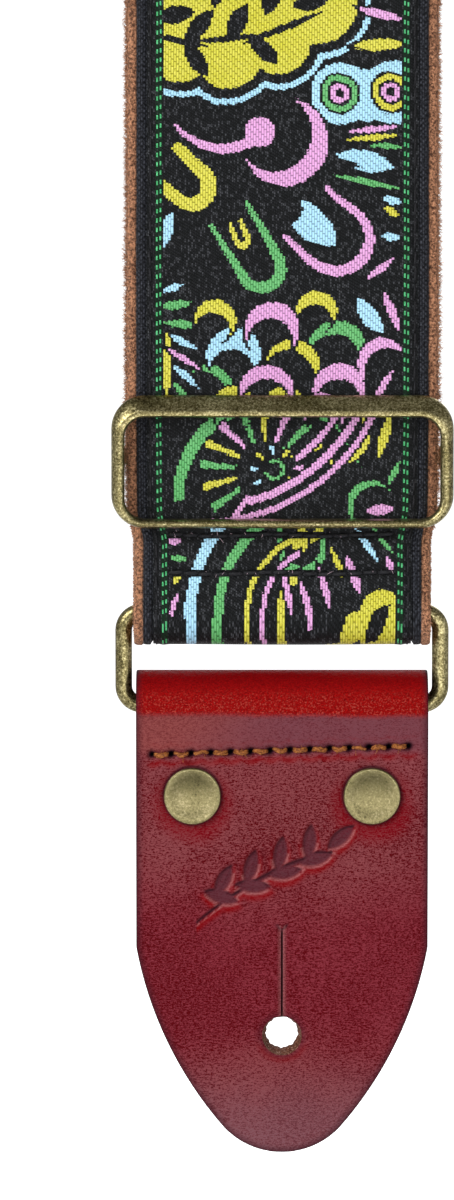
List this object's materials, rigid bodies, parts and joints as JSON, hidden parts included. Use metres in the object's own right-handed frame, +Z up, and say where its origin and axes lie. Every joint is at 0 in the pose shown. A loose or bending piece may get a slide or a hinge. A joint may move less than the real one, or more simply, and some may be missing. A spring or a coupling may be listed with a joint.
{
  "type": "guitar strap",
  "caption": "Adjustable woven guitar strap, folded for hanging: leather button-hole tabs, metal rings and a slider that sets its length.",
  "frame": {"origin": "centre of the lower tab's button hole, half way through the leather", "axes": "+X across the strap, +Y from the patterned front to the back, +Z up along the hanging strap"},
  "size_m": [0.0568, 0.0447, 0.3124],
  "materials": {
    "red_leather": "waxed, smooth grain",
    "brown_suede": "napped suede",
    "black_webbing": "ribbed weave",
    "patterned_ribbon": "woven pattern of coloured threads on black",
    "black_thread": "twisted thread",
    "brown_thread": "waxed twisted thread",
    "antique_brass": "antiqued, worn at the edges",
    "rivet_brass": "polished dome, slightly aged"
  },
  "bodies": {
    "lower_tab": {"lower_tab_leather": "red_leather", "lower_tab_rivet_caps": "rivet_brass", "lower_tab_rivet_backs": "rivet_brass", "lower_tab_thread": "brown_thread"},
    "lower_ring": {"lower_ring": "antique_brass"},
    "lower_strap": {"loop_front_suede": "brown_suede", "loop_front_webbing": "black_webbing", "loop_front_ribbon": "patterned_ribbon", "loop_front_edge_seams": "black_thread", "loop_ring_seam": "black_thread"},
    "slider": {"slider_frame": "antique_brass", "slider_centre_bar": "antique_brass", "loop_slider_seam": "black_thread"},
    "loop": {"loop_back_suede": "brown_suede", "loop_back_webbing": "black_webbing", "loop_back_ribbon": "patterned_ribbon", "loop_back_edge_seams": "black_thread"},
    "upper_ring": {"upper_ring": "antique_brass"},
    "main_strap": {"main_suede": "brown_suede", "main_webbing": "black_webbing", "main_ribbon": "patterned_ribbon", "main_edge_seams": "black_thread", "main_ring_seam": "black_thread", "upper_tab_leather": "red_leather", "upper_tab_thread": "brown_thread", "upper_tab_rivet_caps": "rivet_brass", "upper_tab_rivet_backs": "rivet_brass"}
  },
  "joints": [
    {"name": "upper_ring_swing", "type": "hinge", "parent": "main_strap", "child": "upper_ring", "pos_m": [0, 0.00525, 0.2476], "axis": [-1, 0, 0], "range_deg": [0, 60]},
    {"name": "loop_swing", "type": "hinge", "parent": "upper_ring", "child": "loop", "pos_m": [0, 0.00525, 0.232], "axis": [-1, 0, 0], "range_deg": [0, 45]},
    {"name": "slider_slide", "type": "slide", "parent": "loop", "child": "slider", "axis": [0, 0, 1], "range_m": [0, 0.07], "deforming": ["loop_back_suede", "loop_back_webbing", "loop_back_ribbon", "loop_back_edge_seams"]},
    {"name": "strap_feed", "type": "slide", "parent": "loop", "child": "lower_strap", "axis": [0, 0, -1], "range_m": [0, 0.07]},
    {"name": "lower_ring_swing", "type": "hinge", "parent": "lower_strap", "child": "lower_ring", "pos_m": [0, 0.0042, 0.0709], "axis": [-1, 0, 0], "range_deg": [-30, 70]},
    {"name": "lower_tab_swing", "type": "hinge", "parent": "lower_ring", "child": "lower_tab", "pos_m": [0, 0.0042, 0.0553], "axis": [-1, 0, 0], "range_deg": [-30, 60]}
  ],
  "couplings": [
    {"joint": "strap_feed", "follows": "slider_slide", "ratio": 1}
  ]
}
